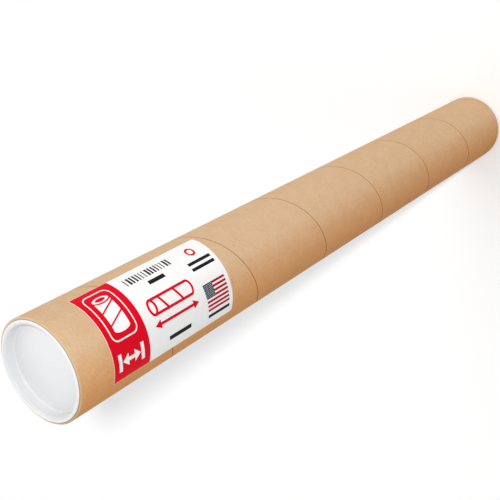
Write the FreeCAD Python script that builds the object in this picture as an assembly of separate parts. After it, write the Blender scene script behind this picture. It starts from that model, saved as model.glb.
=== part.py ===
import FreeCAD, Part
import math
import os

# A spiral-wound cardboard mailing tube with a push-in cap in each end and a printed paper label.
# All sizes are millimetres. The tube stands on its far cap: z = 0 is the crest of that cap's rim, and
# +Z runs up the axis to the near cap. The middle line of the label faces -Y.

Vector = FreeCAD.Vector

# Wound tube
TUBE_OUTER_D = 101.6
TUBE_WALL = 4.572
TUBE_LENGTH = 914.4
PLY_WIDTH = 126.0  # width of the strip that the outer ply is wound from
SEAM_WIDTH = 0.7  # gap between neighbouring turns of the outer ply
SEAM_DEPTH = 0.4
SEAM_BELOW_TOP = 95.9  # where the seam crosses the label's middle line

# Push-in cap
CAP_RIM_OVERLAP = 2.2  # how far the rim reaches over the tube's cut end
CAP_RIM_HEIGHT = 1.3
CAP_RIM_WIDTH = 2.4
CAP_RIM_OUTER_R = 0.8
CAP_RIM_INNER_R = 0.45
CAP_RIM_UNDER_R = 0.3
CAP_LIP_HEIGHT = 0.5  # step inside the rim, above the cut end
CAP_LIP_R = 1.35
CAP_WALL = 1.6
CAP_SKIRT_CLEARANCE = 0.3
CAP_SKIRT_TAPER = 0.9  # how much narrower the skirt is at its foot
CAP_SKIRT_FOOT_R = 1.2
CAP_WELL_DEPTH = 9.3
CAP_WELL_FOOT_R = 2.2
CAP_FLOOR = 1.4
CAP_RIB_COUNT = 2
CAP_RIB_HEIGHT = 1.2
CAP_RIB_CLEARANCE = 0.07
CAP_GATE_D = 5.0  # round mark of the moulding gate in the middle of the floor
CAP_GATE_HEIGHT = 0.25

# Paper label
LABEL_BELOW_TOP = 38.6
LABEL_LENGTH = 168.0
LABEL_WIDTH = 95.0
LABEL_PAPER = 0.15
LABEL_GLUE = 0.05
LABEL_CORNER_R = 3.0  # the two corners at the label's far end are rounded

# Print, a thin skin of ink on the label
INK = 0.08
INK_GAP = 0.02
PANEL_LENGTH = 45.7
PANEL_INSET = 0.3  # white paper left along the panel's outer edges

# Standing tube in a rounded frame, left unprinted in the panel
FRAME_LENGTH = 32.0
FRAME_WIDTH = 49.8
FRAME_CORNER_R = 7.0
FRAME_LINE = 1.3
FRAME_FROM_END = 6.2
FRAME_FROM_EDGE = 7.3
BIG_TUBE_LENGTH = 38.0
BIG_TUBE_D = 19.0

# Wall thickness sign, left unprinted in the panel
GAUGE_LENGTH = 32.0
GAUGE_WIDTH = 17.0
GAUGE_BAR = 4.0
GAUGE_SHAFT = 3.6
GAUGE_HEAD = 7.5
GAUGE_HEAD_WIDTH = 12.0
GAUGE_GAP = 0.8  # between an arrow's tip and its bar
GAUGE_FROM_EDGE = 9.5

# Lying tube over a length arrow, in red
SMALL_TUBE_LENGTH = 62.0
SMALL_TUBE_D = 17.0
ARROW_LENGTH = 62.0
ARROW_WIDTH = 8.6
ARROW_HEAD = 8.2
ARROW_SHAFT = 2.8
ARROW_GAP = 4.2
SMALL_TUBE_LINE = 2.7
DRAWING_PLACE = 5.5  # middle of the pair, round from the label's middle line

# Drawn tubes: how they look for their thickness, and how much their seams lean
END_SHARE = 0.17
BORE_SHARE = 0.62
SEAM_SHARE = 0.085
SEAM_LEAN = 25.0

# Black marks: a row of upright bars, and plain lines
BARS_LENGTH = 62.0
BARS_WIDTH = 9.3
BARS_PITCH = 4.1
BARS_FROM_EDGE = 8.5
THIN_BAR = 1.2
BAR_STEP = 0.45
LINE_WIDTH = 4.4
SHORT_LINE_LENGTH = 21.5
SHORT_LINE_GAP = 4.6
FOOT_LINE_LENGTH = 31.0
FOOT_LINE_FROM_EDGE = 11.0

# Flag, with a ring and two plain lines over it and one line under it
FLAG_LENGTH = 33.0
FLAG_WIDTH = 27.3
FLAG_FIELD_LENGTH = 13.4
FLAG_STRIPES = 13
FLAG_FIELD_STRIPES = 7
FLAG_FROM_END = 5.4
FLAG_FROM_EDGE = 15.5
FLAG_LINE_WIDTH = 3.4
FLAG_LINE_PITCH = 6.6
OVER_FLAG_GAP = 15.8
UNDER_FLAG_GAP = 3.8
RING_D = 11.5
RING_LINE = 2.4
RING_GAP = 5.5

# Places that follow from the sizes above
TUBE_R = TUBE_OUTER_D / 2
BORE_R = TUBE_R - TUBE_WALL
FAR_END_Z = CAP_RIM_HEIGHT
NEAR_END_Z = FAR_END_Z + TUBE_LENGTH
LABEL_R = TUBE_R + LABEL_GLUE
PAPER_R = LABEL_R + LABEL_PAPER
INK_R = PAPER_R + INK_GAP
MIDDLE_ANGLE = -90.0
HALF_WIDTH = LABEL_WIDTH / 2


def flat(x, y):
    """Point of a drawing that lies in the XY plane."""
    return Vector(x, y, 0)


def upright(x, z):
    """Point of a section that stands in the XZ plane, with x as the radius."""
    return Vector(x, 0, z)


def corner_arc(before, corner, after, radius):
    """Start, middle and end of the arc of this radius that rounds a corner, touching both its sides."""
    to_before = (before - corner).normalize()
    to_after = (after - corner).normalize()
    half_angle = to_before.getAngle(to_after) / 2
    reach = radius / math.tan(half_angle)
    inward = (to_before + to_after).normalize()
    middle = corner + inward * (radius / math.sin(half_angle) - radius)
    return corner + to_before * reach, middle, corner + to_after * reach


def outline(points, place):
    """Closed face through (x, y, corner radius) points, laid in a plane by place(x, y)."""
    corners = [place(x, y) for x, y, radius in points]
    stops = []
    for i, (x, y, radius) in enumerate(points):
        if radius > 0:
            stops.append(corner_arc(corners[i - 1], corners[i], corners[(i + 1) % len(corners)], radius))
        else:
            stops.append((corners[i],))
    edges = []
    for stop, following in zip(stops, stops[1:] + stops[:1]):
        if len(stop) == 3:
            edges.append(Part.Arc(*stop).toShape())
        edges.append(Part.LineSegment(stop[-1], following[0]).toShape())
    return Part.Face(Part.Wire(edges))


def turned(points):
    """Solid made by turning a section of (radius, z, corner radius) points about the Z axis."""
    return outline(points, upright).revolve(Vector(), Vector(0, 0, 1), 360)


def seam_pitch():
    """Lead of the seam's helix: a strip of this width closes on itself once a turn."""
    round_tube = math.pi * TUBE_OUTER_D
    return PLY_WIDTH * round_tube / math.sqrt(round_tube ** 2 - PLY_WIDTH ** 2)


def seam_cutter():
    """Helical bar that cuts the gap between turns of the outer ply, running past both ends."""
    pitch = seam_pitch()
    overrun = SEAM_WIDTH * 4
    start_z = FAR_END_Z - overrun
    helix = Part.makeHelix(pitch, TUBE_LENGTH + 2 * overrun, TUBE_R)
    half = SEAM_WIDTH / 2
    inner = TUBE_R - SEAM_DEPTH
    outer = TUBE_R + SEAM_DEPTH
    section = outline([(inner, -half, 0), (outer, -half, 0), (outer, half, 0), (inner, half, 0)], upright)
    bar = Part.Wire(helix.Edges).makePipeShell([section.OuterWire], True, True)
    turn = MIDDLE_ANGLE + 360 * (start_z - (NEAR_END_Z - SEAM_BELOW_TOP)) / pitch
    bar.rotate(Vector(), Vector(0, 0, 1), turn)
    bar.translate(Vector(0, 0, start_z))
    return bar


def make_tube():
    """The wound tube: one wall, cut square at both ends, with the outer ply's seam."""
    corners = [(BORE_R, FAR_END_Z), (TUBE_R, FAR_END_Z), (TUBE_R, NEAR_END_Z), (BORE_R, NEAR_END_Z)]
    wall = turned([(radius, z, 0) for radius, z in corners])
    return wall.cut(seam_cutter())


def cap_rib(height):
    """One raised ring round the cap's skirt, which grips the bore, with its middle at this height."""
    half = CAP_RIB_HEIGHT / 2
    root = BORE_R - CAP_SKIRT_CLEARANCE - CAP_SKIRT_TAPER - CAP_WALL / 2
    crest = BORE_R - CAP_RIB_CLEARANCE
    return turned([
        (root, height - half, 0),
        (crest, height - half, half / 2),
        (crest, height + half, half / 2),
        (root, height + half, 0),
    ])


def make_cap():
    """One cap as it is moulded, with its rim on the plane z = 0 and its cup below it."""
    rim = BORE_R + CAP_RIM_OVERLAP
    rim_inside = rim - CAP_RIM_WIDTH
    skirt = BORE_R - CAP_SKIRT_CLEARANCE
    foot = skirt - CAP_SKIRT_TAPER
    floor_top = -CAP_WELL_DEPTH
    floor_under = floor_top - CAP_FLOOR
    gate = CAP_GATE_D / 2
    gate_top = floor_top + CAP_GATE_HEIGHT
    cup = turned([
        (0, floor_under, 0),
        (foot, floor_under, CAP_SKIRT_FOOT_R),
        (skirt, 0, 0),
        (rim, 0, CAP_RIM_UNDER_R),
        (rim, CAP_RIM_HEIGHT, CAP_RIM_OUTER_R),
        (rim_inside, CAP_RIM_HEIGHT, CAP_RIM_INNER_R),
        (rim_inside, CAP_LIP_HEIGHT, CAP_RIM_UNDER_R),
        (skirt - CAP_WALL, CAP_LIP_HEIGHT, CAP_LIP_R),
        (foot - CAP_WALL, floor_top, CAP_WELL_FOOT_R),
        (gate, floor_top, 0),
        (gate, gate_top, 0),
        (0, gate_top, 0),
    ])
    spacing = CAP_WELL_DEPTH / (CAP_RIB_COUNT + 1)
    ribs = [cap_rib(-spacing * (i + 1)) for i in range(CAP_RIB_COUNT)]
    return cup.fuse(ribs).removeSplitter()


def make_near_cap():
    """The cap in the upper end."""
    cap = make_cap()
    cap.translate(Vector(0, 0, NEAR_END_Z))
    return cap


def make_far_cap():
    """The cap in the lower end, turned over, with its rim's crest at z = 0."""
    cap = make_cap()
    cap.rotate(Vector(), Vector(1, 0, 0), 180)
    cap.translate(Vector(0, 0, FAR_END_Z))
    return cap


def around(width_place):
    """Angle about the axis of a place so many millimetres round from the label's middle line."""
    return -math.degrees(width_place / TUBE_R)


def strip(inner, thickness, start, end, low, high):
    """Curved rectangle: from start to end along the label, and from low to high across it."""
    top = NEAR_END_Z - LABEL_BELOW_TOP - start
    bottom = NEAR_END_Z - LABEL_BELOW_TOP - end
    outer = inner + thickness
    section = outline([(inner, bottom, 0), (outer, bottom, 0), (outer, top, 0), (inner, top, 0)], upright)
    section.rotate(Vector(), Vector(0, 0, 1), MIDDLE_ANGLE + around(high))
    return section.revolve(Vector(), Vector(0, 0, 1), around(low) - around(high))


def punch(drawing, along, across):
    """A flat drawing made a bar that runs in to the axis, centred at this place on the label."""
    outside = PAPER_R + TUBE_WALL
    bar = drawing.extrude(Vector(0, 0, TUBE_R))
    bar.translate(Vector(0, 0, -outside))
    bar.rotate(Vector(), Vector(0, 1, 0), 90)
    bar.rotate(Vector(), Vector(0, 0, 1), MIDDLE_ANGLE + 180 + around(across))
    bar.translate(Vector(0, 0, NEAR_END_Z - LABEL_BELOW_TOP - along))
    return bar


def rectangle(length, width, radius=0, along=0, across=0):
    """Flat rectangle centred at (along, across), with rounded corners if a radius is given."""
    low_x = along - length / 2
    high_x = along + length / 2
    low_y = across - width / 2
    high_y = across + width / 2
    corners = [(low_x, low_y), (high_x, low_y), (high_x, high_y), (low_x, high_y)]
    return outline([(x, y, radius) for x, y in corners], flat)


def disc(half_length, half_width, along=0):
    """Flat ellipse, or circle, centred on the drawing's middle line."""
    if half_length == half_width:
        return Part.Face(Part.Wire(Part.makeCircle(half_length, flat(along, 0))))
    ellipse = Part.Ellipse(flat(along, half_width), flat(along - half_length, 0), flat(along, 0))
    return Part.Face(Part.Wire(ellipse.toShape()))


def ring(radius, line):
    """Flat round ring of this line width."""
    return disc(radius, radius).cut(disc(radius - line, radius - line))


def capsule(length, thickness, bulge):
    """Flat side view of a tube: a rectangle whose two ends are half ellipses."""
    straight = length - 2 * bulge
    ends = [disc(bulge, thickness / 2, along=side * straight / 2) for side in (-1, 1)]
    return rectangle(straight, thickness).fuse(ends).removeSplitter()


def drawn_seams(length, thickness, line):
    """Two leaning lines that cross a drawn tube at thirds of its length."""
    seams = []
    for side in (-1, 1):
        seam = rectangle(line, 2 * thickness)
        seam.rotate(Vector(), Vector(0, 0, 1), -SEAM_LEAN)
        seam.translate(flat(side * length / 6, 0))
        seams.append(seam)
    return seams


def solid_tube(length, thickness):
    """Filled drawing of a tube on its side, with an open end at the left and its seams left out."""
    bulge = thickness * END_SHARE
    gap = thickness * SEAM_SHARE
    half = thickness / 2
    left = bulge - length / 2
    body = capsule(length, thickness, bulge).cut(disc(bulge + gap, half + gap, along=left))
    body = body.cut(drawn_seams(length, thickness, gap))
    end = disc(bulge, half, along=left).cut(disc(bulge * BORE_SHARE, half * BORE_SHARE, along=left))
    return body.fuse(end)


def lined_tube(length, thickness, line):
    """Line drawing of a tube on its side, with an open end at the left: a capsule with its fields cut out."""
    bulge = thickness * END_SHARE + line
    left = bulge - length / 2
    fields = capsule(length - 2 * line, thickness - 2 * line, bulge - line)
    fields = fields.cut(disc(bulge, thickness / 2, along=left))
    fields = fields.cut(drawn_seams(length, thickness, line))
    bore = disc(bulge - line, thickness / 2 - line, along=left)
    return capsule(length, thickness, bulge).cut([fields, bore])


def double_arrow(length, width, head, shaft):
    """Flat arrow with a head at both ends."""
    tip = length / 2
    neck = tip - head
    points = [
        (-tip, 0), (-neck, -width / 2), (-neck, -shaft / 2), (neck, -shaft / 2), (neck, -width / 2),
        (tip, 0), (neck, width / 2), (neck, shaft / 2), (-neck, shaft / 2), (-neck, width / 2),
    ]
    return outline([(x, y, 0) for x, y in points], flat)


def make_label():
    """The label's paper, lying on the tube, with its two far corners rounded."""
    paper = strip(LABEL_R, LABEL_PAPER, 0, LABEL_LENGTH, -HALF_WIDTH, HALF_WIDTH)
    far_z = NEAR_END_Z - LABEL_BELOW_TOP - LABEL_LENGTH
    corners = [e for e in paper.Edges if e.Length < 2 * LABEL_PAPER and e.CenterOfMass.z < far_z + LABEL_PAPER]
    return paper.makeFillet(LABEL_CORNER_R, corners)


def panel_drawings():
    """Bars for what the panel leaves unprinted: a frame, a standing tube and a wall thickness sign."""
    middle = FRAME_FROM_END + FRAME_LENGTH / 2
    frame_place = -HALF_WIDTH + FRAME_FROM_EDGE + FRAME_WIDTH / 2
    inner_length = FRAME_LENGTH - 2 * FRAME_LINE
    inner_width = FRAME_WIDTH - 2 * FRAME_LINE
    frame = rectangle(FRAME_LENGTH, FRAME_WIDTH, FRAME_CORNER_R)
    frame = frame.cut(rectangle(inner_length, inner_width, FRAME_CORNER_R - FRAME_LINE))
    standing = solid_tube(BIG_TUBE_LENGTH, BIG_TUBE_D)
    standing.rotate(Vector(), Vector(0, 0, 1), 90)
    gauge_place = HALF_WIDTH - GAUGE_FROM_EDGE - GAUGE_WIDTH / 2
    bar_place = (GAUGE_LENGTH - GAUGE_BAR) / 2
    arrow_length = GAUGE_LENGTH - 2 * (GAUGE_BAR + GAUGE_GAP)
    gauge = double_arrow(arrow_length, GAUGE_HEAD_WIDTH, GAUGE_HEAD, GAUGE_SHAFT)
    bars = [rectangle(GAUGE_BAR, GAUGE_WIDTH, along=side * bar_place) for side in (-1, 1)]
    return [
        punch(frame, middle, frame_place),
        punch(standing, middle, frame_place),
        punch(gauge.fuse(bars), middle, gauge_place),
    ]


def make_red_panel():
    """The printed red field at the label's near end."""
    edge = HALF_WIDTH - PANEL_INSET
    panel = strip(INK_R, INK, PANEL_INSET, PANEL_LENGTH, -edge, edge)
    return panel.cut(panel_drawings())


def field_middle():
    """Middle, along the label, of the white field between the red panel and the flag."""
    return (PANEL_LENGTH + LABEL_LENGTH - FLAG_FROM_END - FLAG_LENGTH) / 2


def flag_middle():
    """Middle of the flag along the label."""
    return LABEL_LENGTH - FLAG_FROM_END - FLAG_LENGTH / 2


def ink_on(drawing, along, across):
    """A drawing printed on the label, centred at this place."""
    field = strip(INK_R, INK, 0, LABEL_LENGTH, -HALF_WIDTH, HALF_WIDTH)
    return field.common(punch(drawing, along, across))


def ink_strip(middle, length, low, width):
    """A printed rectangle centred at this place along the label, starting at low across it."""
    return strip(INK_R, INK, middle - length / 2, middle + length / 2, low, low + width)


def make_red_marks():
    """The lying tube over its length arrow, the ring over the flag and the flag's stripes."""
    tube_place = DRAWING_PLACE - (ARROW_GAP + ARROW_WIDTH) / 2
    arrow_place = DRAWING_PLACE + (ARROW_GAP + SMALL_TUBE_D) / 2
    ring_place = over_flag_low() - RING_GAP - RING_D / 2
    lying = lined_tube(SMALL_TUBE_LENGTH, SMALL_TUBE_D, SMALL_TUBE_LINE)
    arrow = double_arrow(ARROW_LENGTH, ARROW_WIDTH, ARROW_HEAD, ARROW_SHAFT)
    marks = [
        ink_on(lying, field_middle(), tube_place),
        ink_on(arrow, field_middle(), arrow_place),
        ink_on(ring(RING_D / 2, RING_LINE), flag_middle(), ring_place),
    ]
    return Part.makeCompound(solids_of(marks) + flag_stripes())


def flag_low():
    """Where the flag starts across the label."""
    return HALF_WIDTH - FLAG_FROM_EDGE - FLAG_WIDTH


def flag_stripes():
    """The flag's red stripes: the upper ones start at the field's edge."""
    stripe = FLAG_WIDTH / FLAG_STRIPES
    stripes = []
    for i in range(0, FLAG_STRIPES, 2):
        start = -FLAG_LENGTH / 2
        if i < FLAG_FIELD_STRIPES:
            start += FLAG_FIELD_LENGTH
        middle = flag_middle() + (start + FLAG_LENGTH / 2) / 2
        length = FLAG_LENGTH / 2 - start
        stripes.append(ink_strip(middle, length, flag_low() + i * stripe, stripe))
    return stripes


def make_flag_field():
    """The flag's dark field, at its upper corner."""
    middle = flag_middle() - (FLAG_LENGTH - FLAG_FIELD_LENGTH) / 2
    height = FLAG_WIDTH * FLAG_FIELD_STRIPES / FLAG_STRIPES
    return ink_strip(middle, FLAG_FIELD_LENGTH, flag_low(), height)


def over_flag_low():
    """Where the pair of plain lines over the flag starts across the label."""
    return flag_low() - OVER_FLAG_GAP - FLAG_LINE_PITCH - FLAG_LINE_WIDTH


def upright_bars():
    """A row of bars of four widths that follow one another in a simple round."""
    bars = []
    first = field_middle() - BARS_LENGTH / 2
    for i in range(int(BARS_LENGTH / BARS_PITCH)):
        bar = THIN_BAR + BAR_STEP * ((i * 7 + i // 3) % 4)
        middle = first + BARS_PITCH * i + bar / 2
        bars.append(ink_strip(middle, bar, -HALF_WIDTH + BARS_FROM_EDGE, BARS_WIDTH))
    return bars


def make_black_marks():
    """The upright bars, and the plain lines where a label would have its words."""
    short_low = -HALF_WIDTH + BARS_FROM_EDGE + BARS_WIDTH + SHORT_LINE_GAP
    foot_low = HALF_WIDTH - FOOT_LINE_FROM_EDGE - LINE_WIDTH
    flag_lines = [over_flag_low(), over_flag_low() + FLAG_LINE_PITCH, flag_low() + FLAG_WIDTH + UNDER_FLAG_GAP]
    marks = upright_bars()
    marks.append(ink_strip(field_middle(), SHORT_LINE_LENGTH, short_low, LINE_WIDTH))
    marks.append(ink_strip(field_middle(), FOOT_LINE_LENGTH, foot_low, LINE_WIDTH))
    for low in flag_lines:
        marks.append(ink_strip(flag_middle(), FLAG_LENGTH, low, FLAG_LINE_WIDTH))
    return Part.makeCompound(marks)


def solids_of(shapes):
    """Every solid in a list of shapes."""
    return [solid for shape in shapes for solid in shape.Solids]


def save(name, shape):
    """Writes one piece and says how many solids it has and how much they hold."""
    shape.exportStep("parts/" + name + ".step")
    print(name, len(shape.Solids), round(shape.Volume, 1), shape.isValid())


os.makedirs("parts", exist_ok=True)
save("tube", make_tube())
save("near_cap", make_near_cap())
save("far_cap", make_far_cap())
save("label", make_label())
save("label_red_panel", make_red_panel())
save("label_red_marks", make_red_marks())
save("label_black_marks", make_black_marks())
save("label_flag_field", make_flag_field())
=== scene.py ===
import logging
import math
from abc import ABC, abstractmethod
from dataclasses import dataclass
from enum import Enum
from typing import Any, Sequence

import bmesh
import bpy
import numpy as np
from mathutils import Matrix, Vector
from mathutils.geometry import delaunay_2d_cdt


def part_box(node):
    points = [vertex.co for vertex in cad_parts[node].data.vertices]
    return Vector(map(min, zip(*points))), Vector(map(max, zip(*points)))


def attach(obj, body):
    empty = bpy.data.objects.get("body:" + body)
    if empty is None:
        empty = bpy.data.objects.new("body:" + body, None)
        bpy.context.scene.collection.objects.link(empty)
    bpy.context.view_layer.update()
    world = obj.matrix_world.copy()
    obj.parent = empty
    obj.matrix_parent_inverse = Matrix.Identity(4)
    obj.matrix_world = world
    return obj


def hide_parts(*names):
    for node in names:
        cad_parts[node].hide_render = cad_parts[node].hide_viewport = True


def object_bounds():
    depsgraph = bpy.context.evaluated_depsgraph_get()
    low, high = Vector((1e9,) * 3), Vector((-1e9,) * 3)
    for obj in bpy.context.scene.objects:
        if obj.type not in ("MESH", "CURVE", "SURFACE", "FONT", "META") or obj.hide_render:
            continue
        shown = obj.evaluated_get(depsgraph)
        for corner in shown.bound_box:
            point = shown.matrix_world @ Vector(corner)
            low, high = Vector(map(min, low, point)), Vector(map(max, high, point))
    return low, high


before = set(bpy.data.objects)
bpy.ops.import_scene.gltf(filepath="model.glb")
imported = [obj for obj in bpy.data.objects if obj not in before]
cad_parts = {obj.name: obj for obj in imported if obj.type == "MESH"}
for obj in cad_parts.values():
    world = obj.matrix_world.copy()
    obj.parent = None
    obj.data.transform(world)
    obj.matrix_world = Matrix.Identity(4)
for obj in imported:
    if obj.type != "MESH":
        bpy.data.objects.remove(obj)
CAD_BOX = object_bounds()

LOG = logging.getLogger("mailing_tube")
MM = 0.001
FULL_TURN = 2 * math.pi
WELD_DISTANCE = 1e-6
PLY_MAP = "ply"

Outline = np.ndarray
Piece = bpy.types.Object
Tree = bpy.types.NodeTree
Socket = bpy.types.NodeSocket
Colour = tuple[float, float, float, float]
Shade = Colour | Socket
Painted = tuple[dict[str, Any], Socket]


class End(Enum):
    """The tube's two ends, as the direction along the axis that leads out of each."""

    NEAR = 1
    FAR = -1


class Print(Enum):
    """What one outline of a drawing does to the field inside it."""

    INKED = True
    BARE = False


class Part(Enum):
    """Which finish a face of the wound tube has."""

    OUTER_PLY = 0
    CUT_END = 1
    BORE = 2


class Lay(Enum):
    """How a tint is laid on the colour under it."""

    OVER = "MIX"
    MULTIPLIED = "MULTIPLY"


class Shine(Enum):
    """The kinds of lamp: one so far off that its light is even, and a square panel."""

    FAR = "SUN"
    PANEL = "AREA"


def linear(hex_colour: str) -> Colour:
    """Turns an sRGB hex colour to a linear colour with full alpha.

    Args:
        hex_colour: A colour such as "#D9B489".

    Returns:
        Linear red, green and blue, and 1.
    """
    channels = np.array([int(hex_colour[i:i + 2], 16) for i in (1, 3, 5)]) / 255
    lit = np.where(channels <= 0.04045, channels / 12.92, ((channels + 0.055) / 1.055) ** 2.4)
    return (*lit.tolist(), 1.0)


def add(tree: Tree, kind: str, inputs: dict[Any, Any], **settings: Any) -> bpy.types.Node:
    """Adds one shader node with its settings, and fills or links its inputs.

    Args:
        tree: The material's or world's node tree.
        kind: The node's type without its ShaderNode prefix.
        inputs: A value, or the output socket to link, for each input by its name or number.
        settings: The node's own properties.

    Returns:
        The new node.
    """
    node = tree.nodes.new("ShaderNode" + kind)
    for name, value in settings.items():
        setattr(node, name, value)
    for socket, value in inputs.items():
        if isinstance(value, Socket):
            tree.links.new(value, node.inputs[socket])
        else:
            node.inputs[socket].default_value = value
    return node


def new_material(name: str) -> tuple[bpy.types.Material, Tree]:
    """Makes an empty material.

    Args:
        name: The material's name.

    Returns:
        The material and its empty node tree.
    """
    material = bpy.data.materials.new(name)
    material.use_nodes = True
    material.node_tree.nodes.clear()
    return material, material.node_tree


def direction(azimuth: float, elevation: float = 0) -> Vector:
    """The unit vector at this azimuth and elevation, in degrees."""
    turn, rise = math.radians(azimuth), math.radians(elevation)
    return Vector((math.cos(rise) * math.cos(turn), math.cos(rise) * math.sin(turn), math.sin(rise)))


def from_axis(tree: Tree, place: Socket) -> Socket:
    """Distance of a place from the tube's axis: the length of its x and y."""
    level = add(tree, "VectorMath", {0: place, 1: (1, 1, 0)}, operation="MULTIPLY").outputs[0]
    return add(tree, "VectorMath", {0: level}, operation="LENGTH").outputs["Value"]


@dataclass(frozen=True)
class Tint:
    """A change of colour that some value steers, such as a noise or a distance.

    It begins at one level of the value and is full at the other, which may be the lower one.
    """

    colour: str
    begins: float = 0.0
    full: float = 1.0
    lay: Lay = Lay.OVER

    def over(self, tree: Tree, value: Socket, under: Shade) -> Socket:
        """Lays the tint on a colour.

        Args:
            tree: The material's node tree.
            value: What steers the tint.
            under: The colour that it is laid on.

        Returns:
            The new colour. The tint's share in it is how far the value is on the way between its levels.
        """
        share = add(tree, "MapRange", {"Value": value, "From Min": self.begins, "From Max": self.full})
        return add(tree, "Mix", {0: share.outputs[0], 6: under, 7: linear(self.colour)}, data_type="RGBA",
                   blend_type=self.lay.value).outputs[2]


@dataclass(frozen=True)
class Mottle:
    """A random pattern in a surface: the size of its spots, their tint, how finely they are broken up and
    how far they are stretched along x."""

    size: float
    tint: Tint
    detail: float
    stretch: float = 1.0

    def over(self, tree: Tree, place: Socket, under: Shade) -> tuple[Socket, Socket]:
        """Lays the pattern on a colour.

        Args:
            tree: The material's node tree.
            place: The place on the surface.
            under: The colour that it is laid on.

        Returns:
            The new colour, and the noise that steers it.
        """
        if self.stretch != 1:
            place = add(tree, "Mapping", {"Vector": place, "Scale": (1 / self.stretch, 1, 1)}).outputs[0]
        noise = add(tree, "TexNoise", {"Vector": place, "Scale": 1 / self.size, "Detail": self.detail})
        return self.tint.over(tree, noise.outputs[0], under), noise.outputs[0]


@dataclass(frozen=True)
class PaintedShadeSide:
    """The side of the tube on which a finish is painted darker or greyer, as painted shade.

    The tone grows evenly with the cosine of the angle from the middle of that side.
    """

    radius: float
    azimuth: float = -162.0
    starts_at: float = 0.25
    full_at: float = 1.05

    def tone(self, tree: Tree, colour: Socket, tint: str) -> Socket:
        """Multiplies a colour by a tint, as much as its place is on this side.

        Args:
            tree: The material's node tree.
            colour: The colour of the other side.
            tint: The sRGB hex colour that it is multiplied by in full on this side.

        Returns:
            The toned colour. The cosine is the place's x and y along this side's direction, over the radius.
        """
        place = add(tree, "TexCoord", {}).outputs["Object"]
        side = direction(self.azimuth) / self.radius
        cosine = add(tree, "VectorMath", {0: place, 1: side}, operation="DOT_PRODUCT").outputs["Value"]
        return Tint(tint, self.starts_at, self.full_at, Lay.MULTIPLIED).over(tree, cosine, colour)


@dataclass(frozen=True, kw_only=True)
class Finish(ABC):
    """What every finish has: its name, the height of its relief, how it throws light back, and the tint of
    its painted shade side where it has one."""

    name: str
    relief: float
    bump: float = 0.5
    roughness: float
    ior: float = 1.46
    specular: float = 0.5
    # painted shade: the side of the tube on which the colour is painted darker, and the tint multiplied in
    # there
    painted_shade: PaintedShadeSide | None = None
    painted_shade_tint: str = "#FFFFFF"

    @abstractmethod
    def paint(self, tree: Tree) -> Painted:
        """Paints the surface.

        Args:
            tree: The material's node tree.

        Returns:
            The shader's inputs that are this finish's own, and the height of the surface.
        """

    def build(self) -> bpy.types.Material:
        """Makes the material.

        Returns:
            The material: what the finish paints, painted darker on its painted shade side, under one shader.
        """
        material, tree = new_material(self.name)
        own, height = self.paint(tree)
        if self.painted_shade:
            # painted shade: the colour is multiplied darker on one side of the tube
            own["Base Color"] = self.painted_shade.tone(tree, own["Base Color"], self.painted_shade_tint)
        bump = add(tree, "Bump", {"Height": height, "Strength": self.bump, "Distance": self.relief})
        plain = {"Roughness": self.roughness, "IOR": self.ior, "Specular IOR Level": self.specular}
        shader = add(tree, "BsdfPrincipled", plain | own | {"Normal": bump.outputs[0]})
        add(tree, "OutputMaterial", {"Surface": shader.outputs[0]})
        return material


def dress(piece: Piece, finishes: Sequence[Finish]) -> None:
    """Gives a piece these finishes as its material slots. A finish used before is shared."""
    for finish in finishes:
        piece.data.materials.append(bpy.data.materials.get(finish.name) or finish.build())


@dataclass(frozen=True, kw_only=True)
class KraftLiner(Finish):
    """Unbleached kraft liner paper, smoothed between rolls: the tube's outer ply.

    It gives the eye a warm matt brown with soft clouds where the pulp lies thinner, a grain that runs
    along the strip, a few dark flecks of bark, and a darker line where two turns of the strip meet. One
    side is painted a darker, more orange brown as painted shade, and the paper is painted a little darker
    towards the tube's far end as painted shade. Its fibres are drawn about ten times as wide as real ones,
    to show at all.
    """

    name: str = "kraft_liner_outer_ply"
    thick_pulp: str = "#D3AE88"
    thin_pulp: Mottle = Mottle(16 * MM, Tint("#DABA96", 0.2, 0.8), detail=3)
    grain: Mottle = Mottle(1.3 * MM, Tint("#C6A077", 0.42, 0.95), detail=4, stretch=3.5)
    fibres: Mottle = Mottle(0.55 * MM, Tint("#E4CEB2", 0.6, 1.0), detail=1, stretch=9)
    flecks: Mottle = Mottle(1.7 * MM, Tint("#A37D57", 0.84, 0.87), detail=0, stretch=3.5)
    seam: Tint = Tint("#B08355", 1.0 * MM, 0.3 * MM)
    # painted shade: the paper is painted darker towards the tube's far end
    painted_far_shade: Tint = Tint("#F8F4EF", 620 * MM, 240 * MM, Lay.MULTIPLIED)
    # painted shade: the side that is painted a darker, more orange brown
    painted_shade_tint: str = "#EFC78F"
    strip_width: float = 126 * MM
    relief: float = 0.05 * MM
    roughness: float = 0.74
    specular: float = 0.25

    def paint(self, tree: Tree) -> Painted:
        """Paints on the strip's own map: x runs along the strip and y across it.

        Args:
            tree: The material's node tree.

        Returns:
            The colour, and the grain and the fibres as the height.
        """
        place = add(tree, "UVMap", {}, uv_map=PLY_MAP).outputs[0]
        colour, _ = self.thin_pulp.over(tree, place, linear(self.thick_pulp))
        colour, grain = self.grain.over(tree, place, colour)
        colour, fibres = self.fibres.over(tree, place, colour)
        colour, _ = self.flecks.over(tree, place, colour)
        across = add(tree, "SeparateXYZ", {"Vector": place}).outputs[1]
        to_seam = add(tree, "Math", {0: across, 1: self.strip_width / 2}, operation="PINGPONG").outputs[0]
        colour = self.seam.over(tree, to_seam, colour)
        # painted shade: darker towards the tube's far end, by height
        standing = add(tree, "TexCoord", {}).outputs["Object"]
        above = add(tree, "SeparateXYZ", {"Vector": standing}).outputs[2]
        colour = self.painted_far_shade.over(tree, above, colour)
        height = add(tree, "Math", {0: grain, 1: fibres}, operation="ADD").outputs[0]
        return {"Base Color": colour}, height


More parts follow.
